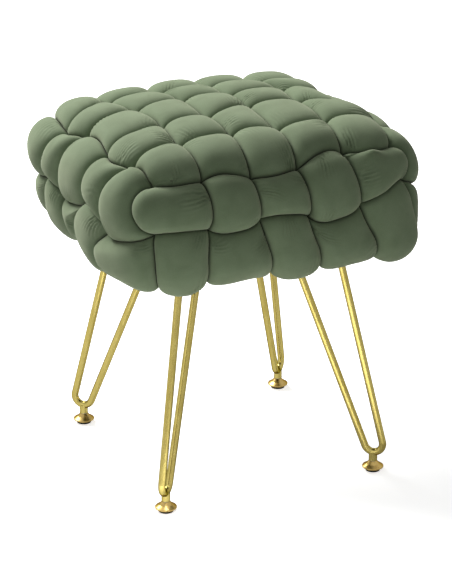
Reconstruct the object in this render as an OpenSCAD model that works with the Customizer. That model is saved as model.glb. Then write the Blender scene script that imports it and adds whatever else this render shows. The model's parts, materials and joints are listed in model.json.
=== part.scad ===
// Woven footstool: ten padded strands and two padded bands are plaited over a foam block
// on a plywood board, which stands on four hairpin legs with levelling feet.
// Lengths are in millimetres, +Z is up, the front is -Y and the floor is z = 0.

/* [Seat] */
// Width of the board and the foam block, left to right
core_w = 278; // [250:1:330]
// Depth of the board and the foam block, front to back
core_d = 248; // [220:1:300]
// Corner radius of the board and the foam block
core_corner_r = 22; // [18:1:30]
// Thickness of the plywood board
board_t = 15; // [12:1:22]
// Height of the foam block at its middle
foam_h = 87.5; // [70:0.5:110]
// How much lower the edges of the seat lie than its middle
crown = 11; // [2:0.5:14]
// Thickness of the dust cover's cloth
cloth_t = 0.8; // [0.4:0.1:1.5]
// How far the seat's top leans to the right of the board
lean_x = -6; // [-12:1:12]
// How far the seat's top leans to the back of the board
lean_y = 8; // [-12:1:12]

/* [Weave] */
// Thickness of a padded strand where it crosses another
strand_t = 28.6; // [20:0.2:31]
// Space between neighbouring soft pieces
soft_gap = 0.4; // [0.1:0.05:0.5]
// Radius of the seat's upper edge, at the middle of the weave
edge_r = 41; // [38:1:48]
// Angle through which the outer columns roll over the left and right edges
column_wrap = 36; // [20:1:50]
// Angle through which the outer rows roll over the front and back edges
row_wrap = 48; // [20:1:55]
// Radius at which the strands roll under the board, at the middle of the weave
under_r = 28; // [27:1:34]
// Angle of the lower band's lower edge on that radius
under_wrap = 50; // [30:1:60]
// Thickness of a strand's flattened end under the board
tuck_t = 3.4; // [2:0.2:6]
// Length of a strand's flattened end under the board
tuck_l = 12; // [6:1:16]

/* [Legs] */
// Height of the legs' mounting plates above the floor
leg_h = 287.3; // [230:0.1:360]
// How far the feet stand out past the board at the left and right
foot_out_x = -2; // [-12:1:6]
// How far the feet stand out past the board at the front and back
foot_out_y = 13; // [2:1:20]
// Diameter of the hairpin rod
rod_d = 9; // [6:0.5:10]
// Middle radius of the bend at the foot
bend_r = 11.8; // [9:0.2:14]
// Lean of the outer rod from upright
outer_lean = 14.3; // [10:0.1:18]
// Lean of the inner rod from upright
inner_lean = 22.1; // [20:0.1:25]
// Thickness of a mounting plate
plate_t = 3; // [2:0.5:5]
// Radius of a mounting plate's corners
plate_corner_r = 8.5; // [7:0.5:11]

/* [Fasteners] */
// Diameter of the screws that hold the plates
screw_d = 6; // [4:0.5:7]
// Length of a screw below its head
screw_l = 16; // [14:1:18]
// Diameter of a screw's head
screw_head_d = 11; // [10:0.5:13]
// Height of a screw's head
screw_head_h = 3; // [2:0.5:4]
// Diameter of a tee nut's flange
tee_d = 19; // [16:0.5:22]
// Diameter of a tee nut's barrel
tee_barrel_d = 8.2; // [8:0.2:10]
// Length of a tee nut's barrel below its flange
tee_barrel_l = 8; // [6:0.5:9]
// Thickness of a tee nut's flange
tee_t = 1.4; // [1:0.1:2]

/* [Levelling feet] */
// Height of the bend's middle above the floor
bend_z = 35.8; // [34:0.1:38]
// Diameter of the socket below the bend
socket_d = 10.4; // [9.6:0.1:12]
// Height of the socket's lower end above the floor
socket_z = 13.6; // [13.2:0.1:14.5]
// Diameter of the threaded stem
stem_d = 6; // [5:0.5:6.5]
// How far a foot screws out
travel = 3; // [1:0.5:4]
// Diameter of a glide's widest ring
glide_d = 26.3; // [22:0.1:32]
// Height of that ring above the floor
glide_ring_z = 5.3; // [5:0.1:6]
// Diameter of a glide's neck
neck_d = 9.6; // [9:0.1:11]
// Height of a glide's neck above the floor
neck_z = 12.7; // [12:0.1:12.8]
// Diameter of the black pad
pad_d = 17.8; // [15:0.1:19]
// Height of the black pad below the glide
pad_h = 2.3; // [1.5:0.1:2.8]

/* [Hidden] */
corners = ["front_left", "front_right", "back_right", "back_left"];
leg_parts = ["plate", "rod", "socket", "stem", "glide", "pad"];

// The weave: counts, and shares of a strand's width and thickness
strands = 5;
around = 4*strands;
border = strands/2;
ring_shares = [-0.5, -0.35, 0, 0.35];
cross_shares = [-0.485, -0.35, 0, 0.35, 0.485, 0.35, 0, -0.35];
cross_faces = [0, 1, 1, 1, 0, -1, -1, -1];
swell_power = 2.6;
round_power = 0.44;
tuck_rings = [4, 3, 2.5];
tuck_mid_share = 0.72;
tuck_fills = [tuck_t/strand_t, tuck_t/strand_t, tuck_mid_share];
// Share of the way up the sides at which the two bands meet
seam_share = 0.362;
// How far the pillows bulge past an even plait, on the top and down the sides
top_bulge_share = 0.02;
over_reach_share = 0.07;
// How far the crossings lie from an even plait, sideways and backwards or downwards, in
// hundredths of a strand's width: the top row by row from the front, each from the left,
// and the two levels of the sides from the front left corner round by the right
hundredths = 100;
top_drift_shares = [
  [[0, 0], [5, -1], [4, -9], [0, -3], [3, 10], [0, 0]],
  [[5, -31], [3, -9], [11, -7], [0, -16], [12, 2], [2, -8]],
  [[-1, -27], [13, -3], [5, -2], [5, 27], [10, 28], [-12, -4]],
  [[3, -8], [2, 16], [6, 27], [1, 17], [20, 27], [-14, 3]],
  [[-6, -23], [-17, 17], [-14, 13], [-6, 10], [-6, 5], [3, -6]],
  [[0, 0], [-29, 13], [-8, 0], [-20, 5], [5, 0], [0, 0]]];
side_drift_shares = [
  [[8, -1], [6, 4], [9, 0], [9, 8], [12, -4], [-6, -31], [-8, 5], [5, -4], [-4, 6], [6, -3],
   [3, 5], [-7, 4], [5, -6], [-3, 8], [6, -4], [0, 14], [-7, 8], [-31, 20], [3, 0], [0, 24]],
  [[8, 4], [2, 5], [33, 17], [34, 9], [43, 0], [26, 2], [12, 4], [4, -5], [-5, 3], [4, 6],
   [-6, -3], [5, 4], [-8, -4], [4, 5], [-5, 3], [0, 4], [-29, -6], [3, -5], [-44, -16], [-30, -8]]];
// How far the joints between the pillows swing halfway down each row of the sides
waist_shares = [
  [-32, 10, 3, 4, -2, 6, 4, -3, 3, -4, -20, 4, -3, 4, -3, 10, -4, 3, -3, 0],
  [3, -3, -1, -2, -3, 3, -3, 3, -4, 3, 4, -3, 4, -3, 4, -3, 3, -4, -16, -12]];
// How far each pillow hangs past the seam of the two bands
drop_shares = [-6, 9, -13, 15, -9, 8, -7, 9, -8, 7, -8, 7, -7, 8, -6, 7, -8, 10, -16, 10];
// How the corners draw in
corner_turn_power = 3;
corner_in_powers = [3, 4];
corner_fall_share = 0.95;
corner_tilt_share = 0.475;
corner_in_x = 10;
corner_in_y = 6;

// Heights, from the floor up
cloth_z = leg_h + plate_t;
board_z = cloth_z + cloth_t;
foam_z = board_z + board_t;
roll_z = board_z - soft_gap - tuck_t/2 + under_r;
top_z = foam_z + foam_h + soft_gap + strand_t;
seam_z = roll_z + seam_share*(top_z - roll_z);

// The middle of the weave, in plan
mid_x = core_w/2 + soft_gap + strand_t;
mid_y = core_d/2 + soft_gap + strand_t;
flat_x = mid_x - edge_r;
flat_y = mid_y - edge_r;
arc_x = flat_x + edge_r*column_wrap*PI/180;
arc_y = flat_y + edge_r*row_wrap*PI/180;
column_pitch = arc_x/border;
row_pitch = arc_y/border;

// Clearances: between threads, round pins and barrels, and round the screws in the plates
fit_gap = 0.05;
weld_gap = 0.02;
screw_gap = 0.3;
// One overrun for all cuts
over = 1;
$fn = 64;

// The foam block's rounded upper edge and its crown
foam_edge_r = edge_r - strand_t + soft_gap;
foam_disc_shares = [0.2, 0.5, 0.8];
disc_t = 0.5;

// The dust cover steps down over the strands' ends
cloth_in = 2.5;
rim_r = core_corner_r;
cloth_x = mid_x - under_r - tuck_l - cloth_in;
cloth_y = mid_y - under_r - tuck_l - cloth_in;
rim_z = board_z - 2*soft_gap - tuck_t;

// A leg in its own frame: the foot is at the origin and +X points away from the middle
foot_x = core_w/2 + foot_out_x;
foot_y = core_d/2 + foot_out_y;
feet = [[-foot_x, -foot_y], [foot_x, -foot_y], [foot_x, foot_y], [-foot_x, foot_y]];
corner_turns = [-135, -45, 45, 135];
outer_at = [bend_r*cos(outer_lean), bend_z + bend_r*sin(outer_lean)];
inner_at = [-bend_r*cos(inner_lean), bend_z - bend_r*sin(inner_lean)];
outer_x = outer_at[0] - tan(outer_lean)*(leg_h - outer_at[1]);
inner_x = inner_at[0] - tan(inner_lean)*(leg_h - inner_at[1]);

// A mounting plate's corners and screws: one screw between the rods, two beside the inner rod
plate_half_share = 0.39;
plate_span = outer_x - inner_x;
plate_corners = [[outer_x, 0], [inner_x, plate_half_share*plate_span],
                 [inner_x, -plate_half_share*plate_span]];
// The bend reaches into the straight runs, a hair thinner than they are
blend_turn = 2;
blend_step = 0.02;
screw_places = [[(outer_x + inner_x)/2, 0], plate_corners[1], plate_corners[2]];

// A foot: the stem's collar fills the space between the glide and the socket
collar_d = 8.4;
pin_d = 5;
pin_z = 4.6;
stem_end_gap = 0.4;
bore_top_share = 0.04;
bore_end_z = (bend_z - bend_r - rod_d/2)*(1 - bore_top_share);
pad_lip = 0.5;
pad_recess = 1;
ring_r = 0.9;
hollow_shares = [0.42, 0.36];

// Across one half of the top: [distance out, fall, slope] at an arc length from the middle
function shelf(arc, flat, half) =
  let(s = abs(arc), turn = max(0, s - flat)/edge_r*180/PI)
  [sign(arc)*(min(s, flat) + edge_r*sin(turn)),
   crown*pow(s/half, 2) + edge_r*(1 - cos(turn)),
   sign(arc)*tan(turn)];
full_fall = max(shelf(arc_x, flat_x, arc_x)[1], shelf(arc_y, flat_y, arc_y)[1]);

// [place, outward direction] on the top, a columns and b rows from the middle
function on_top(a, b) =
  let(px = shelf(a*column_pitch, flat_x, arc_x), py = shelf(b*row_pitch, flat_y, arc_y),
      sa = abs(a)/border, sb = abs(b)/border,
      x = px[0] - sign(a)*corner_in_x*pow(sa, corner_in_powers[0])*pow(sb, corner_in_powers[1]),
      y = py[0] - sign(b)*corner_in_y*pow(sb, corner_in_powers[0])*pow(sa, corner_in_powers[1]),
      z = top_z - px[1] - py[1] + corner_fall_share*px[1]*py[1]/full_fall,
      tilt = [px[2]*(1 - corner_tilt_share*py[1]/full_fall),
              py[2]*(1 - corner_tilt_share*px[1]/full_fall), 1])
  [[x, y, z], tilt/norm(tilt)];

// Outward direction in plan, c strands from the middle of a side
// (sides: 0 front, 1 right, 2 back, 3 left)
function side_way(side, c) =
  let(sg = side == 0 || side == 3 ? -1 : 1,
      turn = 45*sign(c)*pow(abs(c)/border, corner_turn_power))
  side%2 == 0 ? [sin(turn), sg*cos(turn), 0] : [sg*cos(turn), sin(turn), 0];

// [place, outward direction] on a side, v rows down from the edge of the top.
// The arc goes over the edge, straight down, round under the board and inwards.
function on_side(side, c, v) =
  let(sg = side == 0 || side == 3 ? -border : border,
      top = side%2 == 0 ? on_top(c, sg) : on_top(sg, c),
      way = side_way(side, c),
      start = acos(top[1][2]),
      over_l = edge_r*(90 - start)*PI/180,
      drop_l = top[0][2] - edge_r*cos(start) - roll_z,
      quarter_l = under_r*PI/2,
      seam_s = over_l + top[0][2] - edge_r*cos(start) - seam_z,
      low_s = over_l + drop_l + under_r*under_wrap*PI/180,
      under_s = over_l + drop_l + quarter_l,
      s = lookup(v, [[0, 0], [1, seam_s], [2, low_s], [3, under_s], [4, under_s + tuck_l]]),
      turn = s < over_l ? start + s/edge_r*180/PI
           : 90 + min(90, max(0, s - over_l - drop_l)/under_r*180/PI),
      straight = max(0, min(drop_l, s - over_l)),
      out = s < over_l ? edge_r*(sin(turn) - sin(start))
          : edge_r*(1 - sin(start)) - under_r*(1 - sin(turn)) - max(0, s - under_s),
      down = s < over_l ? edge_r*(cos(start) - cos(turn))
           : edge_r*cos(start) + straight - under_r*cos(turn))
  [top[0] + way*out - [0, 0, down], way*sin(turn) + [0, 0, cos(turn)]];

// [place, outward direction] on the sides, p strands round from the front left corner
function on_wall(p, v) =
  let(q = (p + around)%around, side = floor(q/strands), c = q%strands - border)
  v >= 0 ? on_side(side, side < 2 ? c : -c, v)
  : side == 0 ? on_top(c, -border - v)
  : side == 1 ? on_top(border + v, c)
  : side == 2 ? on_top(-c, border + v)
  : on_top(-border - v, -c);

// The same for a place that may lie past the edge of the top
function past_edge(a, b) =
  let(ea = max(-border, min(border, a)), eb = max(-border, min(border, b)))
  ea == a && eb == b ? on_top(a, b)
  : abs(b) >= abs(a) ? on_wall(b < 0 ? ea + border : 3*strands - ea - border, abs(b) - border)
  : on_wall(a > 0 ? strands + eb + border : around - eb - border, abs(a) - border);

// Between the tables' values the drift changes smoothly
function ease(t) = t*t*(3 - 2*t);
function between(from, to, share) = from + (to - from)*share;
function drift(rows, i, j) =
  let(m = min(floor(i), len(rows[0]) - 2), n = min(floor(j), len(rows) - 2), share = ease(i - m))
  between(between(rows[n][m], rows[n][m + 1], share),
          between(rows[n + 1][m], rows[n + 1][m + 1], share), ease(min(1, j - n)))/hundredths;

// The upper edge of the sides drifts as the edge of the top does
edge_drift_shares = [for (k = [0:around - 1])
  let(side = floor(k/strands), i = k%strands,
      d = side == 0 ? top_drift_shares[0][i] : side == 1 ? top_drift_shares[i][strands]
        : side == 2 ? top_drift_shares[strands][strands - i] : top_drift_shares[strands - i][0])
  side == 0 ? [d[0], -d[1]] : side == 1 ? [d[1], d[0]] : side == 2 ? [-d[0], d[1]] : [-d[1], -d[0]]];
side_rows = [for (row = [edge_drift_shares, side_drift_shares[0], side_drift_shares[1],
                         side_drift_shares[1]]) concat(row, [row[0]])];

function swing(row, p) =
  let(i = floor(p)%around) between(row[i], row[(i + 1)%around], ease(p - floor(p)))/hundredths;

// A pillow's hang is quick to change at a strand's edge and even across its middle
function hang(p) =
  let(i = floor(p)%around, part = p - floor(p), own = drop_shares[i],
      other = drop_shares[(part < 0.5 ? i + around - 1 : i + 1)%around], edge = (own + other)/2)
  between(edge, own, 1 - pow(1 - 2*min(part, 1 - part), 3))/hundredths;

// [place, outward direction] on the drifted plait
function plait_top(a, b) =
  let(i = a + border, j = b + border, d = drift(top_drift_shares, i, j),
      edge_a = pow(max(0, abs(a) - border + 1), 2), edge_b = pow(max(0, abs(b) - border + 1), 2),
      reach_a = between(top_bulge_share, -over_reach_share, edge_a),
      reach_b = between(top_bulge_share, over_reach_share, edge_b))
  past_edge(a + d[0] - reach_a*cos(180*i)*sin(180*j), b + d[1] - reach_b*sin(180*i)*cos(180*j));

function plait_side(p, v) =
  let(q = (p + around)%around, row = min(v, 2), level = pow(sin(90*row), 2),
      fade = 1 - min(1, max(0, v - 2)), d = drift(side_rows, q, v))
  on_wall(q + d[0] + swing(waist_shares[v < 1 ? 0 : 1], q)*abs(sin(180*row)),
          v + (d[1] + over_reach_share*sin(180*q)*(1 - level))*fade + hang(q)*level);

// Places along a strand (g from its middle) and across it (w from its centre line)
function on_column(n, g, w) =
  let(c = n + w + border)
  abs(g) <= border ? plait_top(n + w, g) : plait_side(g < 0 ? c : 3*strands - c, abs(g) - border);
function on_row(n, g, w) =
  let(c = n - w + border)
  abs(g) <= border ? plait_top(g, n - w) : plait_side(g > 0 ? strands + c : around - c, abs(g) - border);
function on_band(n, g, w) = plait_side(g, n + 0.5 + w);

// Above the board the seat leans
lean = [lean_x, lean_y, 0]/(top_z - foam_z);
function leaned(place) = place + lean*max(0, place[2] - foam_z);

// How full a strand is at a share of its width from its centre line
function swell(share) = pow(max(0, 1 - pow(2*abs(share), swell_power)), round_power);

// One ring of a strand: lift is 1 where it crosses over and -1 where it goes under,
// and fill is its share of the full thickness
function ring(kind, n, g, lift, fill) =
  [for (k = [0:7])
    let(w = cross_shares[k],
        at = kind == 0 ? on_column(n, g, w) : kind == 1 ? on_row(n, g, w) : on_band(n, g, w),
        h = strand_t/2*lift + cross_faces[k]*(strand_t/2*fill*swell(w) - soft_gap/2))
    leaned(at[0] + at[1]*h)];

// Triangles between the rings. Each square is cut towards the middle of its crossing,
// so that the two strands of a crossing have the same facets.
function wall_faces(rings, first, closed) =
  [for (i = [0:rings - (closed ? 1 : 2)]) for (k = [0:7])
    let(j = (i + 1)%rings, m = (k + 1)%8,
        a = i*8 + k, b = i*8 + m, c = j*8 + m, d = j*8 + k,
        ring_in = (i + 4 - first)%4 < 2, cross_in = k%4 < 2)
    each ring_in == cross_in ? [[a, c, b], [a, d, c]] : [[a, d, b], [d, c, b]]];

// A strand over the top, with both ends flattened and turned in under the board
module strand(kind, n, parity) {
  cells = strands + 4;
  start = [for (i = [0:2]) [-border - tuck_rings[i], 0, tuck_fills[i]]];
  middle = [for (m = [0:cells - 1]) for (u = ring_shares)
    let(cell = m - (cells - 1)/2)
    [cell + u, ((m + parity)%2 == 0 ? 1 : -1)*swell(u), 1]];
  last = [[border + 2, 0, 1]];
  end = [for (i = [2:-1:0]) [-start[i][0], 0, start[i][2]]];
  stations = concat(start, middle, last, end);
  rings = len(stations);
  points = [for (s = stations) each ring(kind, n, s[0], s[1], s[2])];
  cap = [for (k = [0:7]) k];
  polyhedron(points, concat(
    wall_faces(rings, len(start), false),
    [for (k = [1:6]) [0, k, k + 1]],
    [for (k = [1:6]) (rings - 1)*8*[1, 1, 1] + [0, k + 1, k]]), convexity = 6);
}

// A closed band round the four sides
module band(n) {
  cells = 4*strands;
  stations = [for (m = [0:cells - 1]) for (u = ring_shares)
    [m + 0.5 + u, ((m + n)%2 == 0 ? 1 : -1)*swell(u), 1]];
  points = [for (s = stations) each ring(2, n, s[0], s[1], s[2])];
  polyhedron(points, wall_faces(len(stations), 0, true), convexity = 10);
}

// A rounded rectangle about the middle
module slab(w, d, r) {
  square([w - 2*r, d], center = true);
  square([w, d - 2*r], center = true);
  for (x = [-1, 1]) for (y = [-1, 1]) translate([x*(w/2 - r), y*(d/2 - r)]) circle(r);
}

// A rounded outline round a ring of corners, which runs anticlockwise
module rounded(corners, r) {
  last = len(corners) - 1;
  sides = [for (i = [0:last]) corners[i < last ? i + 1 : 0] - corners[i]];
  aside = [for (s = sides) r*[s[1], -s[0]]/norm(s)];
  polygon([for (i = [0:last]) each [corners[i] + aside[i > 0 ? i - 1 : last], corners[i] + aside[i]]]);
  for (p = corners) translate(p) circle(r - blend_step);
}

// Puts a leg's pieces at a corner of the seat
module at_corner(k) translate(feet[k]) rotate([0, 0, corner_turns[k]]) children();

// Puts a fastener's piece at every screw of every leg
module at_screws() for (k = [0:3]) at_corner(k) for (p = screw_places) translate(p) children();

module seat_board() color("#c9a874") difference() {
  translate([0, 0, board_z]) linear_extrude(board_t) slab(core_w, core_d, core_corner_r);
  at_screws() {
    translate([0, 0, board_z - over]) cylinder(d = tee_barrel_d + 2*fit_gap, h = board_t + 2*over);
    translate([0, 0, foam_z - tee_t]) cylinder(d = tee_d + 2*fit_gap, h = tee_t + over);
  }
}

// The foam block has a crowned top and a rounded upper edge, and leans as the strands do
module foam_core() color("#e8dfc0") multmatrix([[1, 0, lean[0], -lean[0]*foam_z],
                                                [0, 1, lean[1], -lean[1]*foam_z]]) hull() {
  edge_z = foam_z + foam_h - full_fall*corner_fall_share;
  translate([0, 0, foam_z]) linear_extrude(edge_z - foam_z - foam_edge_r)
    slab(core_w, core_d, core_corner_r);
  for (x = [-1, 1]) for (y = [-1, 1])
    translate([x*(core_w/2 - core_corner_r), y*(core_d/2 - core_corner_r), edge_z - foam_edge_r])
      rotate_extrude($fn = 32) {
        square([core_corner_r - foam_edge_r, foam_edge_r]);
        translate([core_corner_r - foam_edge_r, 0]) intersection() {
          circle(foam_edge_r, $fn = 24);
          square(foam_edge_r);
        }
      }
  for (s = foam_disc_shares)
    translate([0, 0, foam_z + foam_h - crown*s*s - disc_t]) cylinder(r = s*core_d/2, h = disc_t, $fn = 32);
}

// The dust cover lies on the board and steps down over the strands' ends
module dust_cover() color("#26262a") difference() {
  union() {
    translate([0, 0, cloth_z]) linear_extrude(cloth_t) slab(2*cloth_x, 2*cloth_y, rim_r);
    translate([0, 0, rim_z - cloth_t]) linear_extrude(board_z - rim_z + cloth_t) difference() {
      slab(2*cloth_x, 2*cloth_y, rim_r);
      slab(2*(cloth_x - cloth_t), 2*(cloth_y - cloth_t), rim_r - cloth_t);
    }
    translate([0, 0, rim_z - cloth_t]) linear_extrude(cloth_t) difference() {
      slab(2*(mid_x - under_r), 2*(mid_y - under_r), rim_r);
      slab(2*(cloth_x - cloth_t), 2*(cloth_y - cloth_t), rim_r - cloth_t);
    }
  }
  at_screws() translate([0, 0, cloth_z - over]) cylinder(d = screw_d + 2*screw_gap, h = cloth_t + 2*over);
}

module tee_nuts() color("#b9bcc0") at_screws() difference() {
  union() {
    translate([0, 0, foam_z - tee_t]) cylinder(d = tee_d, h = tee_t);
    translate([0, 0, foam_z - tee_t - tee_barrel_l]) cylinder(d = tee_barrel_d, h = tee_barrel_l);
  }
  translate([0, 0, foam_z - tee_t - tee_barrel_l - over])
    cylinder(d = screw_d + 2*fit_gap, h = tee_t + tee_barrel_l + 2*over);
}

module plate_screws() color("#3c3c3e") at_screws() {
  translate([0, 0, leg_h]) cylinder(d = screw_d, h = screw_l);
  translate([0, 0, leg_h - screw_head_h]) cylinder(d1 = screw_d, d2 = screw_head_d, h = screw_head_h);
}

module plate(k) color("#c9b168") at_corner(k) translate([0, 0, leg_h]) linear_extrude(plate_t)
  difference() {
    rounded(plate_corners, plate_corner_r);
    for (p = screw_places) translate(p) circle(d = screw_d + 2*screw_gap);
  }

// One rod: two straight runs and the bend between them
module rod_form(d) {
  length = leg_h/cos(inner_lean);
  translate([outer_at[0], 0, outer_at[1]]) rotate([0, -outer_lean, 0]) cylinder(d = d, h = length);
  translate([inner_at[0], 0, inner_at[1]]) rotate([0, -inner_lean, 0]) cylinder(d = d, h = length);
  translate([0, 0, bend_z]) rotate([90, 0, 0]) rotate([0, 0, inner_lean - 180 - blend_turn])
    rotate_extrude(angle = 180 - inner_lean + outer_lean + 2*blend_turn)
      translate([bend_r, 0]) circle(d = d - 2*blend_step);
}

module rod(k) color("#d3bd78") at_corner(k) difference() {
  rod_form(rod_d);
  translate([-leg_h, -leg_h/2, leg_h]) cube(leg_h);
}

// The socket is coped to the underside of the bend and takes the stem's thread
module socket(k) color("#d3bd78") at_corner(k) difference() {
  translate([0, 0, socket_z]) cylinder(d = socket_d, h = bend_z - bend_r - socket_z);
  translate([0, 0, bend_z]) rotate([90, 0, 0]) rotate_extrude()
    translate([bend_r, 0]) circle(d = rod_d + 2*weld_gap);
  translate([0, 0, socket_z - over]) cylinder(d = stem_d + 2*fit_gap, h = bore_end_z - socket_z + over);
}

module stem(k) color("#b8b8b4") at_corner(k) {
  translate([0, 0, neck_z]) cylinder(d = collar_d, h = socket_z - neck_z);
  translate([0, 0, socket_z]) cylinder(d = stem_d, h = bore_end_z - stem_end_gap - socket_z);
  translate([0, 0, pin_z]) cylinder(d = pin_d, h = neck_z - pin_z);
}

// The glide widens from its neck in a hollow curve to a rounded ring and narrows to the pad
module glide(k) color("#c79f4c") at_corner(k) rotate_extrude() difference() {
  union() {
    polygon([[0, pad_h], [pad_d/2 + pad_lip, pad_h], [glide_d/2 - ring_r/4, glide_ring_z - ring_r],
             [glide_d/2 - ring_r, glide_ring_z + ring_r],
             [neck_d/2 + hollow_shares[0]*(glide_d - neck_d)/2,
              glide_ring_z + ring_r + hollow_shares[1]*(neck_z - glide_ring_z)],
             [neck_d/2, neck_z], [0, neck_z]]);
    translate([glide_d/2 - ring_r, glide_ring_z]) circle(ring_r);
  }
  square([pin_d/2 + fit_gap, neck_z + over]);
  square([pad_d/2 + fit_gap, pad_h + pad_recess]);
}

module pad(k) color("#1c1c1c") at_corner(k) cylinder(d = pad_d, h = pad_h + pad_recess);

module column_strand(n) { color("#6f7f62") strand(0, n - 3, n + 1); }
module row_strand(n) { color("#7b8b6d") strand(1, n - 3, n); }
module upper_band() { color("#64745a") band(0); }
module lower_band() { color("#5a6a50") band(1); }

seat_board();
foam_core();
dust_cover();
tee_nuts();
plate_screws();
for (n = [1:5]) column_strand(n);
for (n = [1:5]) row_strand(n);
upper_band();
lower_band();
for (k = [0:3]) {
  plate(k);
  rod(k);
  socket(k);
  stem(k);
  glide(k);
  pad(k);
}
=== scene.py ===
import json
import math
import random

import bmesh
import bpy
from mathutils import Matrix, Vector, noise


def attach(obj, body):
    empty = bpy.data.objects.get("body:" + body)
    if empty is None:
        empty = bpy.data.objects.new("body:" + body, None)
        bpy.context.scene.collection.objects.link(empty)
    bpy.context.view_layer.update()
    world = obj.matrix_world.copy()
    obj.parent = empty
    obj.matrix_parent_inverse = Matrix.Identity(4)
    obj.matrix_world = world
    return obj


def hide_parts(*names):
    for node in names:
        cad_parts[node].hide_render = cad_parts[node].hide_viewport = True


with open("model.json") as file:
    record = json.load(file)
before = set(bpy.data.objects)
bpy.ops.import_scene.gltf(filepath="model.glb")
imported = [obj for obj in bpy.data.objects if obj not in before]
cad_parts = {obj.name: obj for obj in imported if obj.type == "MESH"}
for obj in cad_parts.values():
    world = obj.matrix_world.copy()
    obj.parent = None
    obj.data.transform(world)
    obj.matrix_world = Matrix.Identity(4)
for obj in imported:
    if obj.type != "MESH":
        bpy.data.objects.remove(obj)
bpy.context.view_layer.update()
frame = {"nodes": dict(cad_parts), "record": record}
scene = bpy.context.scene
nodes = frame["nodes"]
cornerNames = ["front_left", "front_right", "back_right", "back_left"]
mm = 0.001


def linearColour(hexText):
    values = [int(hexText[i:i + 2], 16) / 255 for i in (1, 3, 5)]
    return [v / 12.92 if v <= 0.04045 else ((v + 0.055) / 1.055) ** 2.4 for v in values] + [1.0]


def addNode(material, kind, settings=None, links=None):
    tree = material.node_tree
    node = tree.nodes.new(kind)
    for key, value in (settings or {}).items():
        if isinstance(key, str) and hasattr(node, key):
            setattr(node, key, value)
        else:
            node.inputs[key].default_value = value
    for key, source in (links or {}).items():
        tree.links.new(source, node.inputs[key])
    return node


def newMaterial(name, colour, roughness, metallic=0.0, **sockets):
    material = bpy.data.materials.new(name)
    material.use_nodes = True
    shader = material.node_tree.nodes["Principled BSDF"]
    shader.inputs["Base Color"].default_value = linearColour(colour)
    shader.inputs["Roughness"].default_value = roughness
    shader.inputs["Metallic"].default_value = metallic
    for key, value in sockets.items():
        shader.inputs[key.replace("_", " ")].default_value = value
    return material, shader


def pieceFrom(bm, name, body, material, smooth=True):
    mesh = bpy.data.meshes.new(name)
    bm.to_mesh(mesh)
    bm.free()
    mesh.materials.append(material)
    if smooth:
        mesh.shade_smooth()
    piece = bpy.data.objects.new(name, mesh)
    scene.collection.objects.link(piece)
    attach(piece, body)
    return piece


# the camera stands where the photograph was taken from, above the seat and to the left of the front
camera = {"azimuth": -23.89, "elevation": 21.97, "distance": 2.81, "target": (0, 0, 0.1822),
          "focalPixels": 2296.2, "frame": (452, 584), "targetPixel": (225.14, 310.03),
          "sensorWidth": 36, "clip": (0.05, 50)}


def placeCamera(c):
    az, el = math.radians(c["azimuth"]), math.radians(c["elevation"])
    back = Vector((math.sin(az) * math.cos(el), -math.cos(az) * math.cos(el), math.sin(el)))
    data = bpy.data.cameras.new("photoCamera")
    longSide = max(c["frame"])
    data.sensor_width = c["sensorWidth"]
    data.lens = c["focalPixels"] * data.sensor_width / longSide
    data.shift_x = -(c["targetPixel"][0] - c["frame"][0] / 2) / longSide
    data.shift_y = (c["targetPixel"][1] - c["frame"][1] / 2) / longSide
    data.clip_start, data.clip_end = c["clip"]
    viewer = bpy.data.objects.new("photoCamera", data)
    viewer.location = Vector(c["target"]) + back * c["distance"]
    viewer.rotation_mode = "QUATERNION"
    viewer.rotation_quaternion = (-back).to_track_quat("-Z", "Y")
    scene.collection.objects.link(viewer)
    scene.camera = viewer


placeCamera(camera)
print("camera placed")


def pitch(size):
    # the texture scale at which a pattern repeats about every so many millimetres
    return 1 / (size * mm)


# what share of each pattern is fine grain, and which part of the mixture's range tints and dulls
patternMix = {"grainShare": 0.4, "grainDetail": 2.0, "tintRange": (0.35, 0.65), "dullRange": (0.3, 0.7)}


def patterned(material, shader, fine, size, colours, roughness=None, *, depth, stretch=(1, 1, 1), detail=3.0,
              warp=0.0, kind="ShaderNodeTexNoise"):
    # a pattern in real millimetres that tints, dulls and roughens a surface, mixed with a finer one
    tree = material.node_tree
    place = addNode(material, "ShaderNodeTexCoord").outputs["Object"]
    place = addNode(material, "ShaderNodeMapping", {"Scale": stretch}, {"Vector": place}).outputs["Vector"]
    settings = {"Scale": pitch(size)}
    if kind == "ShaderNodeTexNoise":
        settings.update({"Detail": detail, "Distortion": warp})
    broad = addNode(material, kind, settings, {"Vector": place}).outputs[0]
    settings = {"Scale": pitch(fine), "Detail": patternMix["grainDetail"]}
    grain = addNode(material, "ShaderNodeTexNoise", settings, {"Vector": place}).outputs[0]
    both = addNode(material, "ShaderNodeMix", {"data_type": "FLOAT", 0: patternMix["grainShare"]},
                   {2: broad, 3: grain}).outputs[0]
    low, high = patternMix["tintRange"]
    wide = addNode(material, "ShaderNodeMapRange", {"From Min": low, "From Max": high}, {"Value": both})
    tint = addNode(material, "ShaderNodeMix", {"data_type": "RGBA", 6: linearColour(colours[0]),
                                               7: linearColour(colours[1])}, {0: wide.outputs[0]})
    tree.links.new(tint.outputs[2], shader.inputs["Base Color"])
    if roughness:
        low, high = patternMix["dullRange"]
        rough = addNode(material, "ShaderNodeMapRange", {"From Min": low, "From Max": high}, {"Value": both})
        rough.inputs["To Min"].default_value, rough.inputs["To Max"].default_value = roughness
        tree.links.new(rough.outputs[0], shader.inputs["Roughness"])
    bump = addNode(material, "ShaderNodeBump", {"Strength": 1.0, "Distance": depth * mm}, {"Height": both})
    tree.links.new(bump.outputs["Normal"], shader.inputs["Normal"])


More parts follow.
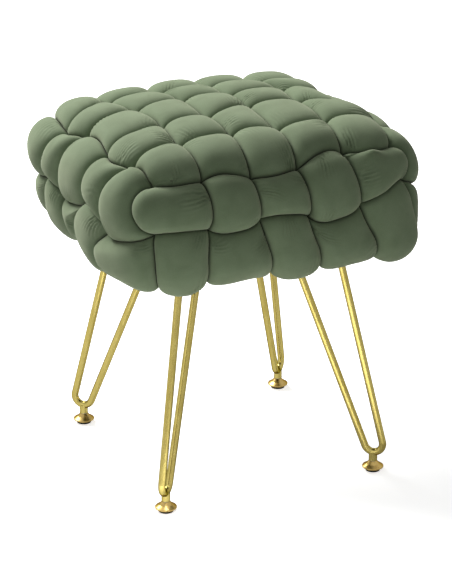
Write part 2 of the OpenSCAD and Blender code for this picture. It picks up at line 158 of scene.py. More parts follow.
# sage polyester velvet with a short cut pile: soft and matt from in front, with a pale bloom where it is seen
# at a slant, and faint strokes where the pile lies over; the pile is too fine to show and is drawn at 0.8 mm
# the near-black colour in the pile's dictionary is painted shade for the grooves between strands
pile = {"bloom": 0.42, "bloomTint": "#DFE2C6", "colours": ("#5C6E50", "#6B7D5F"), "paintedShadeColour": "#12170F"}
velvet, shader = newMaterial("sage velvet, short cut pile", "#6A7B5E", 0.85, Sheen_Weight=pile["bloom"],
                             Sheen_Roughness=0.7, Sheen_Tint=linearColour(pile["bloomTint"]),
                             Specular_IOR_Level=0.2)
patterned(velvet, shader, 0.8, 26, pile["colours"], depth=0.12, detail=2.0, warp=0.4)
# painted shade: where two strands meet, the velvet is painted nearly black and loses its bloom, standing for
# the shadow deep in the grooves between them
paintedGrooveShade = addNode(velvet, "ShaderNodeAttribute", {"attribute_name": "paintedGrooveShade"}).outputs["Fac"]
openTint = shader.inputs["Base Color"].links[0].from_socket
paintedShadeTint = addNode(velvet, "ShaderNodeMix", {"data_type": "RGBA", 7: linearColour(pile["paintedShadeColour"])},
                      {0: paintedGrooveShade, 6: openTint})
velvet.node_tree.links.new(paintedShadeTint.outputs[2], shader.inputs["Base Color"])
bloom = addNode(velvet, "ShaderNodeMapRange", {"To Min": pile["bloom"], "To Max": 0.0}, {"Value": paintedGrooveShade})
velvet.node_tree.links.new(bloom.outputs[0], shader.inputs["Sheen Weight"])
# open-cell polyurethane foam, hot-wire cut: pale cream and chalky, pitted with pores about a millimetre wide
foam, shader = newMaterial("cut polyurethane foam", "#E9E1C6", 0.95, Specular_IOR_Level=0.2)
patterned(foam, shader, 1.0, 2.2, ("#DDD2AE", "#F0E9D2"), depth=0.5)
# rotary-cut birch plywood, sanded bare: warm pale wood with long brown grain lines a few millimetres apart
plywood, shader = newMaterial("sanded birch plywood", "#C9A977", 0.6)
patterned(plywood, shader, 0.7, 5.0, ("#B8935F", "#D9BE90"), (0.5, 0.7), depth=0.08, stretch=(0.06, 1, 1),
          warp=1.2)
# spunbonded polypropylene cloth: dull black, with a fine embossed grain and paler fibres in it
dustCloth, shader = newMaterial("spunbonded black cloth", "#1F1F21", 0.9, Specular_IOR_Level=0.3)
patterned(dustCloth, shader, 0.7, 2.4, ("#151516", "#2E2E31"), depth=0.25, kind="ShaderNodeTexVoronoi")
# steel rod, drawn, buffed lengthwise and brass plated: a soft long highlight and fine streaks along the rod,
# drawn at 0.5 mm; its dark olive edges are painted shade, a dark edge tint standing in for the dark
# surroundings that the rods' sides would mirror
satinBrass, shader = newMaterial("satin brass plating", "#AD9D58", 0.24, 1.0,
                                 Specular_Tint=linearColour("#3A3410"))
patterned(satinBrass, shader, 0.5, 6.0, ("#A4944F", "#B5A662"), (0.2, 0.3), depth=0.01, stretch=(1, 1, 0.08))
# turned steel, tumbled and brass plated a shade warmer: soft reflections with dark golden-brown turns
polishedBrass, shader = newMaterial("tumbled brass plating", "#B49A5C", 0.3, 1.0,
                                    Specular_Tint=linearColour("#7A6530"))
patterned(polishedBrass, shader, 0.6, 5.0, ("#A98E52", "#BFA669"), (0.24, 0.36), depth=0.01)
# bright zinc plating on pressed steel: bluish grey with cloudy lighter patches about a centimetre wide
zincSteel, shader = newMaterial("bright zinc plating", "#B9BBBC", 0.35, 1.0)
patterned(zincSteel, shader, 1.2, 11, ("#A3A7AA", "#C6C8C7"), (0.3, 0.48), depth=0.02)
# black oxide on hardened steel: nearly black with a faint oily gloss that comes and goes
blackSteel, shader = newMaterial("black oxide finish", "#2A2A2C", 0.45, 0.6)
patterned(blackSteel, shader, 0.5, 3.0, ("#212123", "#343436"), (0.36, 0.55), depth=0.01)
# moulded black rubber: matt, with the mould's fine spark grain
padRubber, shader = newMaterial("moulded rubber", "#141414", 0.75, Specular_IOR_Level=0.35)
patterned(padRubber, shader, 0.4, 1.5, ("#101010", "#1C1C1C"), (0.65, 0.85), depth=0.05)

finishes = {"velvet": velvet, "foam": foam, "plywood": plywood, "dust_cloth": dustCloth,
            "brass_plated_steel": satinBrass, "polished_brass": polishedBrass, "zinc_steel": zincSteel,
            "black_steel": blackSteel, "black_pad": padRubber}
for part in frame["record"]["subparts"]:
    mesh = nodes[part["node"]].data
    mesh.materials.clear()
    mesh.materials.append(finishes[part["material_slot"]])
print("finishes made")


# the plaited cover: every strand is laid along one shared middle sheet, over and under its neighbours
weave = {
    "midX": 168.0, "midY": 153.0, "edgeRadius": 41.0, "columnWrap": 36, "rowWrap": 48, "crown": 11.0,
    "underRadius": 28.0, "underWrap": 50, "tuckLength": 12.0, "thickness": 28.6, "widthShare": 2.3,
    "gap": 0.4, "slimShare": 0.986, "topZ": 422.6, "boardZ": 291.1, "tuckThickness": 3.4, "seamShare": 0.362,
    "cornerIn": (10.0, 6.0), "cornerTurn": 45, "cornerFall": 0.95, "cornerTilt": 0.475,
    "widthPower": 2.6, "heightPower": 2.27, "topBulge": 0.02, "overReach": 0.07,
    "lean": (-6.0, 8.0, 0.0), "leanFrom": 306.1, "backSag": 4.0, "rightRise": 3.0,
    # of the next line's last two: below what share of a strand's full height the painted groove shade starts,
    # and how fast it deepens
    "waver": 1.0, "waverSize": 45.0, "waverSeed": 1, "shadeBelow": 0.46, "shadePower": 1.4,
    "alongSteps": 50, "acrossSteps": 60, "innerSteps": 12, "underSteps": 12, "outlineSteps": 400,
    "mergeWithin": 0.01}
# how full a strand's tucked end is, from its tip: place along the strand, and share of its thickness
tuck = [(6.5, 0.12), (5.8, 0.12), (5.5, 0.12), (5.25, 0.35), (5.0, 0.72), (4.75, 0.9)]

# five strands lie side by side each way, and two bands go round the walls
perSide, wallLevels = 5, 2
around = 4 * perSide
border = perSide / 2
strandCells, strandEnd = perSide + 2 * wallLevels, border + wallLevels
strandWidth = weave["thickness"] * weave["widthShare"]
# the same unevenness each run
noise.seed_set(weave["waverSeed"])
edgeR, underR, thick = weave["edgeRadius"], weave["underRadius"], weave["thickness"]
flatX, flatY = weave["midX"] - edgeR, weave["midY"] - edgeR
arcX = flatX + edgeR * math.radians(weave["columnWrap"])
arcY = flatY + edgeR * math.radians(weave["rowWrap"])
rollZ = weave["boardZ"] - weave["gap"] - weave["tuckThickness"] / 2 + underR
seamZ = rollZ + weave["seamShare"] * (weave["topZ"] - rollZ)


def shelf(arc, flat, half):
    # how far out and down the top lies at a distance from its middle, and how steep it is there
    s = abs(arc)
    turn = max(0.0, s - flat) / edgeR
    sign = math.copysign(1.0, arc)
    return (sign * (min(s, flat) + edgeR * math.sin(turn)),
            weave["crown"] * (s / half) ** 2 + edgeR * (1 - math.cos(turn)), sign * math.tan(turn))


fullFall = max(shelf(arcX, flatX, arcX)[1], shelf(arcY, flatY, arcY)[1])


def onTop(a, b):
    # a point of the top of the sheet, and the way out of it, at a strands to the right and b to the back
    px, py = shelf(a * arcX / border, flatX, arcX), shelf(b * arcY / border, flatY, arcY)
    sa, sb = abs(a) / border, abs(b) / border
    x = px[0] - math.copysign(weave["cornerIn"][0], a) * sa ** 3 * sb ** 4
    y = py[0] - math.copysign(weave["cornerIn"][1], b) * sb ** 3 * sa ** 4
    z = weave["topZ"] - px[1] - py[1] + weave["cornerFall"] * px[1] * py[1] / fullFall
    tilt = Vector((px[2] * (1 - weave["cornerTilt"] * py[1] / fullFall),
                   py[2] * (1 - weave["cornerTilt"] * px[1] / fullFall), 1))
    return Vector((x, y, z)), tilt.normalized()


def sideWay(side, c):
    # the way out of a wall, which turns towards the corner near its ends
    sign = -1 if side in (0, 3) else 1
    turn = math.radians(weave["cornerTurn"]) * math.copysign((abs(c) / border) ** 3, c)
    if side % 2 == 0:
        return Vector((math.sin(turn), sign * math.cos(turn), 0))
    return Vector((sign * math.cos(turn), math.sin(turn), 0))


def onSide(side, c, v):
    # a point of a wall, v levels down from the edge of the top
    sign = -border if side in (0, 3) else border
    top, normal = onTop(c, sign) if side % 2 == 0 else onTop(sign, c)
    way = sideWay(side, c)
    start = math.acos(min(1.0, normal.z))
    overL = edgeR * (math.pi / 2 - start)
    dropL = top.z - edgeR * math.cos(start) - rollZ
    seamS = overL + top.z - edgeR * math.cos(start) - seamZ
    lowS = overL + dropL + underR * math.radians(weave["underWrap"])
    underS = overL + dropL + underR * math.pi / 2
    marks = [0, seamS, lowS, underS, underS + weave["tuckLength"]]
    i = min(len(marks) - 2, int(v))
    s = marks[i] + (v - i) * (marks[i + 1] - marks[i])
    if s < overL:
        turn = start + s / edgeR
        out = edgeR * (math.sin(turn) - math.sin(start))
        down = edgeR * (math.cos(start) - math.cos(turn))
    else:
        turn = math.pi / 2 + min(math.pi / 2, max(0.0, s - overL - dropL) / underR)
        out = edgeR * (1 - math.sin(start)) - underR * (1 - math.sin(turn)) - max(0.0, s - underS)
        down = edgeR * math.cos(start) + max(0.0, min(dropL, s - overL)) - underR * math.cos(turn)
    place = top + way * out - Vector((0, 0, down))
    return place, way * math.sin(turn) + Vector((0, 0, math.cos(turn)))


# How far the crossings lie from an even plait, in hundredths of a strand's width: the top by rows
# from the front, each from the left, and the walls by their two levels, from the front left corner
# round to the right, the back and the left. The waists are how far the joints between the pillows
# swing sideways halfway down each wall row, and the drops are how far each pillow's lower end hangs.
topDrift = [[(0, 0), (5, -1), (4, -9), (0, -3), (3, 10), (0, 0)],
            [(5, -31), (3, -9), (11, -7), (0, -16), (12, 2), (2, -8)],
            [(-1, -27), (13, -3), (5, -2), (5, 27), (10, 28), (-12, -4)],
            [(3, -8), (2, 16), (6, 27), (1, 17), (20, 27), (-14, 3)],
            [(-6, -23), (-17, 17), (-14, 13), (-6, 10), (-6, 5), (3, -6)],
            [(0, 0), (-29, 13), (-8, 0), (-20, 5), (5, 0), (0, 0)]]
wallDrift = [[(8, -1), (6, 4), (9, 0), (9, 8), (12, -4), (-6, -31), (-8, 5), (5, -4), (-4, 6), (6, -3),
              (3, 5), (-7, 4), (5, -6), (-3, 8), (6, -4), (0, 14), (-7, 8), (-31, 20), (3, 0), (0, 24)],
             [(8, 4), (2, 5), (33, 17), (34, 9), (43, 0), (26, 2), (12, 4), (4, -5), (-5, 3), (4, 6),
              (-6, -3), (5, 4), (-8, -4), (4, 5), (-5, 3), (0, 4), (-29, -6), (3, -5), (-44, -16), (-30, -8)]]
waists = [[-32, 10, 3, 4, -2, 6, 4, -3, 3, -4, -20, 4, -3, 4, -3, 10, -4, -12, -6, -26],
          [3, -3, -1, -2, -3, 3, -3, 3, -4, 3, 4, -3, 4, -3, 4, -3, 3, -4, -32, -28]]
drops = [-6, 9, -13, 15, -9, 8, -7, 9, -8, 7, -8, 7, -7, 8, -6, 7, -8, 10, -16, 10]
# where hands or seams have pushed the cover out or in: place, move and reach, in millimetres
pushes = [((-165, 125, 400), (-10, 4, -5), 50), ((-170, -70, 290), (-8, -3, -5), 38),
          ((165, -60, 405), (5, 0, 6), 45), ((150, -150, 300), (4, -1, -3), 38),
          ((155, -140, 395), (8, -2, 4.5), 40), ((-155, -140, 385), (3, -2.5, -3), 35),
          ((-30, -172, 268), (0, 0, 9), 32), ((165, -130, 340), (-3, 0, 0), 30),
          ((-168, 90, 350), (-2, 0, 0), 40), ((119, -164, 413), (0, -2, 8), 10)]


def ease(t):
    return t * t * (3 - 2 * t)


def within(value, limit):
    return max(-limit, min(limit, value))


def mixedDrift(rows, u, v):
    # the drift at a place between four crossings of a table
    i, j = min(int(u), len(rows[0]) - 2), min(int(v), len(rows) - 2)
    fu, fv = ease(u - i), ease(min(1.0, v - j))
    pairs = [(rows[j][i], (1 - fu) * (1 - fv)), (rows[j][i + 1], fu * (1 - fv)),
             (rows[j + 1][i], (1 - fu) * fv), (rows[j + 1][i + 1], fu * fv)]
    return [sum(pair[k] * share for pair, share in pairs) / 100 for k in (0, 1)]


def mixedRow(row, p):
    i = int(p) % around
    share = ease(p - int(p))
    return (row[i] * (1 - share) + row[(i + 1) % around] * share) / 100


def hang(p):
    # how far a lower end hangs: quick to change at a strand's edge, even across its middle
    i, f = int(p) % around, p - int(p)
    other = drops[(i - 1) % around] if f < 0.5 else drops[(i + 1) % around]
    edge = (drops[i] + other) / 2
    return (edge + (drops[i] - edge) * (1 - (1 - 2 * min(f, 1 - f)) ** 3)) / 100


# the walls' upper edge drifts as the edge of the top does
edge = range(perSide)
wallTop = [topDrift[0][i] for i in edge] + [topDrift[i][perSide] for i in edge] \
    + [topDrift[perSide][perSide - i] for i in edge] + [topDrift[perSide - i][0] for i in edge]
turned = [lambda d: (d[0], -d[1]), lambda d: (d[1], d[0]), lambda d: (-d[0], d[1]), lambda d: (-d[1], -d[0])]
wallRows = [[turned[k // perSide](d) for k, d in enumerate(wallTop)]] + wallDrift + [wallDrift[1]]
wallRows = [row + row[:1] for row in wallRows]


def onWall(p, v):
    # p goes round the four walls, five strands to a side, and v goes down from the edge of the top
    p %= around
    side, c = int(p // perSide), p % perSide - border
    if v < 0:
        a, b = [(c, -border - v), (border + v, c), (-c, border + v), (-border - v, -c)][side]
        return onTop(a, b)
    return onSide(side, c if side < 2 else -c, v)


def settled(place):
    # the seat leans, lies higher at the right and lower at the back, and no strand is quite even
    share = max(0.0, (place.z - weave["leanFrom"]) / (weave["topZ"] - weave["leanFrom"]))
    right = max(0.0, 0.5 + place.x / weave["midX"] / 2) ** 2
    rear = max(0.0, 0.5 + place.y / weave["midY"] / 2) ** 2
    shift = Vector(weave["lean"]) * share + noise.noise_vector(place / weave["waverSize"]) * weave["waver"]
    shift.z += (weave["rightRise"] * right - weave["backSag"] * rear) * share
    for centre, move, reach in pushes:
        shift += Vector(move) * math.exp(-(place - Vector(centre)).length_squared / reach ** 2)
    return place + shift


def onSheet(kind, n, g, w):
    # the middle of the plait at g strands along and w strands across
    if kind == "band":
        p, v, top = g, n + 0.5 + w, False
    elif abs(g) > border:
        v, top = abs(g) - border, False
        if kind == "column":
            p = n + w + border if g < 0 else 3 * perSide - (n + w + border)
        else:
            p = perSide + (n - w + border) if g > 0 else around - (n - w + border)
    else:
        top = True
        a, b = (n + w, g) if kind == "column" else (g, n - w)
    if top:
        i, j = a + border, b + border
        edgeA, edgeB = max(0.0, abs(a) - (border - 1)) ** 2, max(0.0, abs(b) - (border - 1)) ** 2
        drift = mixedDrift(topDrift, i, j)
        reachA = weave["topBulge"] * (1 - edgeA) - weave["overReach"] * edgeA
        reachB = weave["topBulge"] * (1 - edgeB) + weave["overReach"] * edgeB
        a += drift[0] - reachA * math.cos(math.pi * i) * math.sin(math.pi * j)
        b += drift[1] - reachB * math.sin(math.pi * i) * math.cos(math.pi * j)
        across, along = within(a, border), within(b, border)
        if abs(a) <= border and abs(b) <= border:
            place, normal = onTop(a, b)
        elif abs(b) - border >= abs(a) - border:
            p = across + border if b < 0 else 3 * perSide - (across + border)
            place, normal = onWall(p, abs(b) - border)
        else:
            p = perSide + along + border if a > 0 else around - (along + border)
            place, normal = onWall(p, abs(a) - border)
    else:
        p %= around
        fade = 1 - min(1.0, max(0.0, v - wallLevels))
        drift = mixedDrift(wallRows, p, v)
        swing = abs(math.sin(math.pi * min(v, wallLevels)))
        dp = drift[0] + mixedRow(waists[0 if v < 1 else 1], p) * swing
        level = math.sin(math.pi * min(v, wallLevels) / wallLevels) ** 2
        dv = (drift[1] + weave["overReach"] * math.sin(math.pi * p) * (1 - level)) * fade + hang(p) * level
        place, normal = onWall(p + dp, v + dv)
    return place, normal


def swell(share):
    # how full a strand is at a share of its width from its centre line
    return max(0.0, 1 - abs(2 * share) ** weave["widthPower"]) ** (1 / weave["heightPower"])


def evenShares(steps, wide, high):
    # places from -0.5 to 0.5, evenly spaced along a strand's curved outline
    fine = [-0.5 * math.cos(math.pi * i / weave["outlineSteps"]) for i in range(weave["outlineSteps"] + 1)]
    walked = [0.0]
    for a, b in zip(fine, fine[1:]):
        walked.append(walked[-1] + math.hypot((b - a) * wide, (swell(b) - swell(a)) * high))
    shares, k = [], 0
    for i in range(steps):
        goal = walked[-1] * i / steps
        while walked[k + 1] < goal:
            k += 1
        part = (goal - walked[k]) / (walked[k + 1] - walked[k])
        shares.append(fine[k] + (fine[k + 1] - fine[k]) * part)
    return shares


# the fabric gathers where a neighbour grips the strand: short creases run in from there
gathers = {"depth": 4.0, "depthShares": (0.35, 1), "calmShare": 0.2, "spacing": 0.075,
           "centres": (-0.32, -0.22, 0.0, 0.22, 0.32), "widths": (0.13, 0.22), "reach": 0.2,
           "reachShares": (0.85, 1.4), "gripLength": 0.07, "goneAfter": 1.5, "phases": (0, 9),
           "slants": (-0.5, 0.5), "fan": (0.6, 1.4), "wobble": 0.35, "wobbles": 5}


def gatherEnds(name):
    # each crossing's two ends get their own gathers, always the same for the same strand
    rng = random.Random(name)
    ends = {}
    for m in range(around):
        for end in (-1, 1):
            calm = rng.random() < gathers["calmShare"]
            depth = 0 if calm else rng.uniform(*gathers["depthShares"])
            ends[m, end] = {"depth": depth, "centre": rng.choice(gathers["centres"]),
                            "width": rng.uniform(*gathers["widths"]),
                            "reach": gathers["reach"] * rng.uniform(*gathers["reachShares"]),
                            "phase": rng.uniform(*gathers["phases"]),
                            "slant": rng.uniform(*gathers["slants"])}
    return ends


def creaseDepth(ends, m, u, w):
    # how deep the creases are, in millimetres, at a place of a crossing
    total = 0.0
    for end in (-1, 1):
        spot = ends[m, end]
        inward = 0.5 - end * u
        if not spot["depth"] or inward > spot["reach"] * gathers["goneAfter"]:
            continue
        # creases fan out from where the fabric is gripped
        narrow, widening = gathers["fan"]
        across = (w - spot["centre"]) / (narrow + widening * inward) - spot["slant"] * inward
        beyond = max(0.0, inward - gathers["gripLength"])
        near = math.exp(-(across / spot["width"]) ** 2) * math.exp(-(beyond / spot["reach"]) ** 2)
        spin = noise.noise(Vector((u * gathers["wobbles"], w * gathers["wobbles"], spot["phase"])))
        phase = across / gathers["spacing"] + spot["phase"] + gathers["wobble"] * spin
        total += gathers["depth"] * spot["depth"] * near * (1 - abs(math.sin(math.pi * phase))) ** 2
    return total


def strandStations(kind, parity):
    # the sections along a strand: place, height over the sheet, fullness, crossing, and place in the crossing
    stations = []
    for m in range(around if kind == "band" else strandCells):
        over = (m + parity) % 2 == 0
        for u in evenShares(weave["alongSteps"] if over else weave["underSteps"], strandWidth, thick):
            g = m + 0.5 + u if kind == "band" else m - strandCells // 2 + u
            stations.append((g, swell(u) if over else -swell(u), 1.0, m, u))
    if kind == "band":
        return stations + stations[:1]
    return [(-g, 0, fill, None, 0) for g, fill in tuck] + stations + [(strandEnd, 0, 1.0, None, 0)] \
        + [(g, 0, fill, None, 0) for g, fill in reversed(tuck)]


def layStrand(name, kind, n, parity):
    stations = strandStations(kind, parity)
    half = thick / 2
    outer, inner = [evenShares(weave[steps], strandWidth, half) for steps in ("acrossSteps", "innerSteps")]
    ring = [(w * weave["slimShare"], 1, swell(w)) for w in outer] \
        + [(-w * weave["slimShare"], -1, swell(w)) for w in inner]
    ends = gatherEnds(name)
    bm = bmesh.new()
    bmesh.ops.create_grid(bm, x_segments=len(ring), y_segments=len(stations) - 1, size=1)
    # each point's share of painted groove shade, which the velvet reads to darken it
    paintedShadeLayer = bm.verts.layers.float.new("paintedGrooveShade")
    for vert in bm.verts:
        w, face, full = ring[round((vert.co.x + 1) / 2 * len(ring)) % len(ring)]
        g, lift, fill, m, u = stations[round((vert.co.y + 1) / 2 * (len(stations) - 1))]
        place, normal = onSheet(kind, n, g, w)
        height = half * lift + face * (half * fill * full - weave["gap"] / 2)
        if face > 0 and lift > 0:
            height -= creaseDepth(ends, m, u, w)
        vert.co = settled(place + normal * height) * mm
        # painted shade darkens each strand where it dips towards a groove, at its edges and the ends of its
        # crossings; none is painted below the hem, on a strand's end, nor on the lower band's lower edge
        hem = m is None or kind != "band" and (m == 0 and u < 0 or m == strandCells - 1 and u > 0)
        beside = 1.0 if kind == "band" and n == 1 and w > 0 else full
        shadeShare = 1 - min(1.0, min(beside, 1.0 if hem else abs(lift)) / weave["shadeBelow"])
        vert[paintedShadeLayer] = shadeShare ** weave["shadePower"]
    bmesh.ops.remove_doubles(bm, verts=bm.verts, dist=weave["mergeWithin"] * mm)
    bmesh.ops.holes_fill(bm, edges=[e for e in bm.edges if e.is_boundary], sides=0)
    bmesh.ops.recalc_face_normals(bm, faces=bm.faces)
    return pieceFrom(bm, name, "stool", velvet)


middle = perSide // 2
for i in range(perSide):
    piece = layStrand(f"columnStrand{i + 1}", "column", i - middle, i)
    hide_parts(f"column_strand_{i + 1}")
    piece = layStrand(f"rowStrand{i + 1}", "row", i - middle, i + 1)
    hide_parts(f"row_strand_{i + 1}")
for n, name in enumerate(["upper", "lower"]):
    piece = layStrand(f"{name}Band", "band", n, n)
    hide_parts(f"{name}_band")
print("strands laid")


# the foam block under the plait, a rounded box with a crowned top that leans with the cover
foamBlock = {"width": 278.0, "depth": 248.0, "bottomZ": 306.1, "height": 87.5, "cornerRadius": 22.0,
             "topRadius": 12.8, "cornerDrop": 20.0, "cuts": 40, "pores": 0.35, "poreSize": 3.0}


def makeFoamBlock(b):
    bm = bmesh.new()
    bmesh.ops.create_cube(bm, size=2)
    bmesh.ops.subdivide_edges(bm, edges=bm.edges, cuts=b["cuts"], use_grid_fill=True)
    halfX, halfY = b["width"] / 2, b["depth"] / 2
    radii = (b["cornerRadius"], b["cornerRadius"], b["topRadius"])
    for vert in bm.verts:
        x, y, share = vert.co.x * halfX, vert.co.y * halfY, (vert.co.z + 1) / 2
        # the edges of the crowned top lie lower than its middle, and its corners lower still
        fall = weave["crown"] * ((x / halfX) ** 2 + (y / halfY) ** 2) / 2
        fall += b["cornerDrop"] * abs(x * y / halfX / halfY) ** 3
        z = (b["height"] - fall) * share
        topZ = b["height"] - fall - radii[2]
        inner = [within(x, halfX - radii[0]), within(y, halfY - radii[1]), min(z, topZ)]
        off = [(p - q) / r for p, q, r in zip((x, y, z), inner, radii)]
        length = math.sqrt(sum(o * o for o in off))
        if length > 0:
            pull = max(abs(o) for o in off) / length
            x, y, z = [q + o * pull * r for q, o, r in zip(inner, off, radii)]
        z += b["bottomZ"]
        pore = noise.noise(Vector((x, y, z)) / b["poreSize"]) * b["pores"] if share > 0 else 0
        vert.co = (settled(Vector((x, y, z))) - Vector((x / halfX, y / halfY, 1)) * abs(pore)) * mm
    bmesh.ops.recalc_face_normals(bm, faces=bm.faces)
    piece = pieceFrom(bm, "foamBlock", "stool", foam)
    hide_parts("foam_core")


makeFoamBlock(foamBlock)

# the dust cover, a cloth stretched under the board that steps down over the strands' ends
dustCover = {"width": 280.0, "depth": 250.0, "cornerRadius": 22.0, "boardZ": 290.6, "step": 4.1, "rim": 15.5,
             "stepWidth": 5.0, "stretch": 3.0, "thickness": 0.5, "pucker": 0.45, "puckerSize": 17.0,
             "steps": 150}


def roundedPlan(u, v, halfX, halfY, radius):
    # a point of a square grid from -1 to 1, moved onto a rectangle with round corners
    x, y = u * halfX, v * halfY
    innerX, innerY = within(x, halfX - radius), within(y, halfY - radius)
    offX, offY = x - innerX, y - innerY
    length = math.hypot(offX, offY)
    if length > 0:
        pull = max(abs(offX), abs(offY)) / length
        x, y = innerX + offX * pull, innerY + offY * pull
    # how far inside the edge the point lies
    inside = min(halfX - abs(x), halfY - abs(y))
    if length > 0:
        inside = radius - math.hypot(x - innerX, y - innerY)
    return x, y, inside


def makeDustCover(c):
    bm = bmesh.new()
    bmesh.ops.create_grid(bm, x_segments=c["steps"], y_segments=c["steps"], size=1)
    for vert in bm.verts:
        x, y, inside = roundedPlan(vert.co.x, vert.co.y, c["width"] / 2, c["depth"] / 2, c["cornerRadius"])
        share = ease(min(1.0, max(0.0, (inside - c["rim"]) / c["stepWidth"] + 0.5)))
        pucker = noise.noise(Vector((x, y, 0)) / c["puckerSize"]) * c["pucker"] * (1 - share)
        vert.co = Vector((x, y, c["boardZ"] - c["step"] * (1 - share) + pucker)) * mm
    bmesh.ops.solidify(bm, geom=bm.faces[:], thickness=c["thickness"] * mm)
    bmesh.ops.recalc_face_normals(bm, faces=bm.faces)
    piece = pieceFrom(bm, "dustCover", "stool", dustCloth)
    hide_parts("dust_cover")


makeDustCover(dustCover)
print("foam block and dust cover made")

# wire staples hold the dust cloth's edge to the board
staples = {"crown": 10.0, "leg": 5.0, "wire": 0.7, "z": 285.9, "inset": 7.0, "spacing": 33.0,
           "clearOfCorner": 38.0}


def bendStaple(bm, c):
    # a square wire whose two ends are bent up into the board
    wire = bmesh.ops.create_cube(bm, size=c["wire"])["verts"]
    bmesh.ops.scale(bm, verts=wire, vec=(c["crown"] / c["wire"], 1, 1))
    sides = list(dict.fromkeys(f for v in wire for f in v.link_faces))
    ends = [(end, max(sides, key=lambda f: f.calc_center_median().x * end)) for end in (-1, 1)]
    for end, face in ends:
        leg = bmesh.ops.extrude_discrete_faces(bm, faces=[face])["faces"][0]
        bmesh.ops.translate(bm, verts=leg.verts[:], vec=(-end * c["wire"] / 2, 0, c["leg"]))
        wire += leg.verts[:]
    return wire


def makeStaples(c, cover):
    bm = bmesh.new()
    sides = ((cover["width"], cover["depth"]), (cover["depth"], cover["width"]))
    for quarter in range(4):
        width, depth = sides[quarter % 2]
        turn = Matrix.Rotation(math.radians(90 * quarter), 4, "Z")
        count = int((width - 2 * c["clearOfCorner"]) / c["spacing"]) + 1
        for i in range(count):
            x = (i - (count - 1) / 2) * c["spacing"]
            place = turn @ Matrix.Translation((x, -depth / 2 + c["inset"], c["z"]))
            bmesh.ops.transform(bm, matrix=place, verts=bendStaple(bm, c))
    bmesh.ops.scale(bm, verts=bm.verts, vec=(mm, mm, mm))
    bmesh.ops.recalc_face_normals(bm, faces=bm.faces)
    pieceFrom(bm, "coverStaples", "stool", zincSteel, smooth=False)


makeStaples(staples, dustCover)

# a rippled weld bead runs round each rod where it meets its plate
welds = {"plateZ": 287.3, "foot": 137.0, "bendRadius": 11.8, "bendZ": 35.8, "leans": (14.3, 22.1),
         "cornerTurns": (225, 315, 45, 135), "rodRadius": 4.5, "beadRadius": 1.3, "standOff": 0.2, "sides": 8,
         "rippleShare": 0.22, "ripples": 15, "steps": 60}


def runBead(bm, c, lean, side):
    # one bead, run round an upright rod, stretched to the rod's lean and moved to where it meets the plate
    before = set(bm.verts)
    profile = bmesh.ops.create_circle(bm, segments=c["sides"], radius=c["beadRadius"])["verts"]
    bmesh.ops.rotate(bm, verts=profile, cent=(0, 0, 0), matrix=Matrix.Rotation(math.pi / 2, 3, "X"))
    bmesh.ops.translate(bm, verts=profile, vec=(c["rodRadius"] + c["standOff"], 0, 0))
    edges = list(dict.fromkeys(e for v in profile for e in v.link_edges))
    bmesh.ops.spin(bm, geom=profile + edges, cent=(0, 0, 0), axis=(0, 0, 1), angle=2 * math.pi,
                   steps=c["steps"], use_merge=True)
    bead = [v for v in bm.verts if v not in before]
    for vert in bead:
        wave = math.sin(math.atan2(vert.co.y, vert.co.x) * c["ripples"])
        vert.co += (vert.co - vert.co.normalized() * c["rodRadius"]) * wave * c["rippleShare"]
    away = c["foot"] * math.sqrt(2) + side * c["bendRadius"] * math.cos(lean) \
        - math.tan(lean) * (c["plateZ"] - c["bendZ"] - side * c["bendRadius"] * math.sin(lean))
    bmesh.ops.scale(bm, verts=bead, vec=(1 / math.cos(lean), 1, 1))
    bmesh.ops.translate(bm, verts=bead, vec=(away, 0, c["plateZ"]))


def makeWelds(c):
    for corner, turn in zip(cornerNames, c["cornerTurns"]):
        bm = bmesh.new()
        for lean, side in zip(c["leans"], (1, -1)):
            runBead(bm, c, math.radians(lean), side)
        toCorner = Matrix.Scale(mm, 4) @ Matrix.Rotation(math.radians(turn), 4, "Z")
        bmesh.ops.transform(bm, matrix=toCorner, verts=bm.verts)
        bmesh.ops.recalc_face_normals(bm, faces=bm.faces)
        pieceFrom(bm, f"{corner}_welds", "stool", satinBrass)


makeWelds(welds)
print("staples and weld beads made")


# a white floor and soft light: a broad lamp high behind the seat's left, a weak one low at the left, and a
# narrow one straight down in front of the stool, because the floor there is what the rods' fronts reflect
studio = {"floorSize": 12.0, "floorColour": "#F4F4F4", "floorBounce": "#A8A8A8", "floorRoughness": 0.9,
          "floorGlow": 0.7, "floorShine": 0.25, "skyStrength": 0.24, "aim": (0, 0, 0.35),
          "lamps": {"skyPanel": {"at": (-0.8, 1.85, 2.2), "size": 1.1, "power": 108},
                    "sidePanel": {"at": (-2.4, -0.9, 1.0), "size": 1.2, "power": 4.5}},
          "floorSpot": {"at": (-0.27, -0.62, 1.7), "power": 360, "beam": 35, "blend": 0.6, "softness": 0.05}}


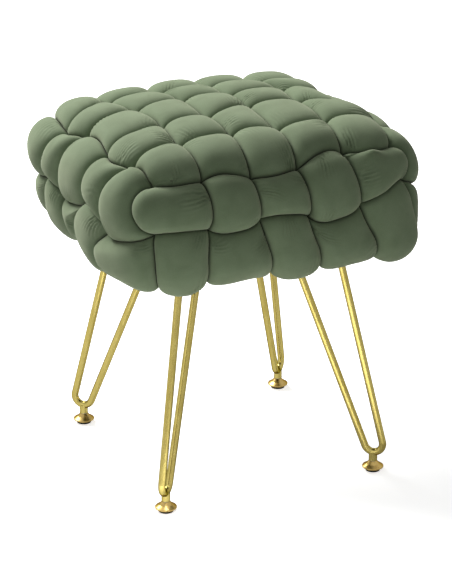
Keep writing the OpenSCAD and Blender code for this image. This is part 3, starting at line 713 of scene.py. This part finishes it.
def makePaper(c):
    # seamless studio paper, matt white and bright by its own light: the camera sees a glow in it that pales
    # the shadow, and the brass a little of it
    paper, shader = newMaterial("white studio paper", c["floorColour"], c["floorRoughness"])
    tree = paper.node_tree
    shader.inputs["Emission Color"].default_value = (1, 1, 1, 1)
    rays = addNode(paper, "ShaderNodeLightPath").outputs
    # the photograph's backdrop throws less light back on the seat than white paper close by would
    bounce = addNode(paper, "ShaderNodeMix", {"data_type": "RGBA", 6: linearColour(c["floorColour"]),
                                              7: linearColour(c["floorBounce"])}, {0: rays["Is Diffuse Ray"]})
    tree.links.new(bounce.outputs[2], shader.inputs["Base Color"])
    direct = addNode(paper, "ShaderNodeMath", {"operation": "ADD"},
                     {0: rays["Is Camera Ray"], 1: rays["Is Transmission Ray"]})
    glow = addNode(paper, "ShaderNodeMath", {"operation": "MULTIPLY", 1: c["floorGlow"]},
                   {0: direct.outputs[0]})
    shine = addNode(paper, "ShaderNodeMath", {"operation": "MULTIPLY_ADD", 1: c["floorShine"]},
                    {0: rays["Is Glossy Ray"], 2: glow.outputs[0]})
    tree.links.new(shine.outputs[0], shader.inputs["Emission Strength"])
    # seen from below, the paper is left out, so that the underside of the seat can be looked at
    behind = addNode(paper, "ShaderNodeNewGeometry").outputs["Backfacing"]
    clear = addNode(paper, "ShaderNodeBsdfTransparent").outputs["BSDF"]
    surface = addNode(paper, "ShaderNodeMixShader", None, {0: behind, 1: shader.outputs["BSDF"], 2: clear})
    tree.links.new(surface.outputs["Shader"], tree.nodes["Material Output"].inputs["Surface"])
    return paper


def layFloor(c):
    bm = bmesh.new()
    bmesh.ops.create_grid(bm, x_segments=1, y_segments=1, size=c["floorSize"] / 2)
    mesh = bpy.data.meshes.new("floor")
    bm.to_mesh(mesh)
    bm.free()
    mesh.materials.append(makePaper(c))
    floor = bpy.data.objects.new("floor", mesh)
    scene.collection.objects.link(floor)


def lightSky(c):
    # white where it is seen or mirrored, and a weak even light on the stool
    world = bpy.data.worlds.new("studio")
    scene.world = world
    world.use_nodes = True
    background = world.node_tree.nodes["Background"]
    background.inputs["Color"].default_value = (1, 1, 1, 1)
    rays = addNode(world, "ShaderNodeLightPath").outputs
    seen = addNode(world, "ShaderNodeMath", {"operation": "ADD"},
                   {0: rays["Is Camera Ray"], 1: rays["Is Glossy Ray"]})
    seen = addNode(world, "ShaderNodeMath", {"operation": "ADD", "use_clamp": True},
                   {0: seen.outputs[0], 1: rays["Is Transmission Ray"]})
    level = addNode(world, "ShaderNodeMapRange", {"To Min": c["skyStrength"], "To Max": 1.0},
                    {"Value": seen.outputs[0]})
    world.node_tree.links.new(level.outputs["Result"], background.inputs["Strength"])


def hangLamps(c):
    for name, lamp in c["lamps"].items():
        data = bpy.data.lights.new(name, "AREA")
        data.size, data.energy = lamp["size"], lamp["power"]
        panel = bpy.data.objects.new(name, data)
        panel.location = lamp["at"]
        panel.rotation_mode = "QUATERNION"
        panel.rotation_quaternion = (Vector(c["aim"]) - Vector(lamp["at"])).to_track_quat("-Z", "Y")
        scene.collection.objects.link(panel)
    lamp = c["floorSpot"]
    data = bpy.data.lights.new("floorSpot", "SPOT")
    data.energy, data.shadow_soft_size = lamp["power"], lamp["softness"]
    data.spot_size, data.spot_blend = math.radians(lamp["beam"]), lamp["blend"]
    spot = bpy.data.objects.new("floorSpot", data)
    spot.location = lamp["at"]
    scene.collection.objects.link(spot)


layFloor(studio)
lightSky(studio)
hangLamps(studio)
scene.view_settings.view_transform = "Standard"
print("studio lit")
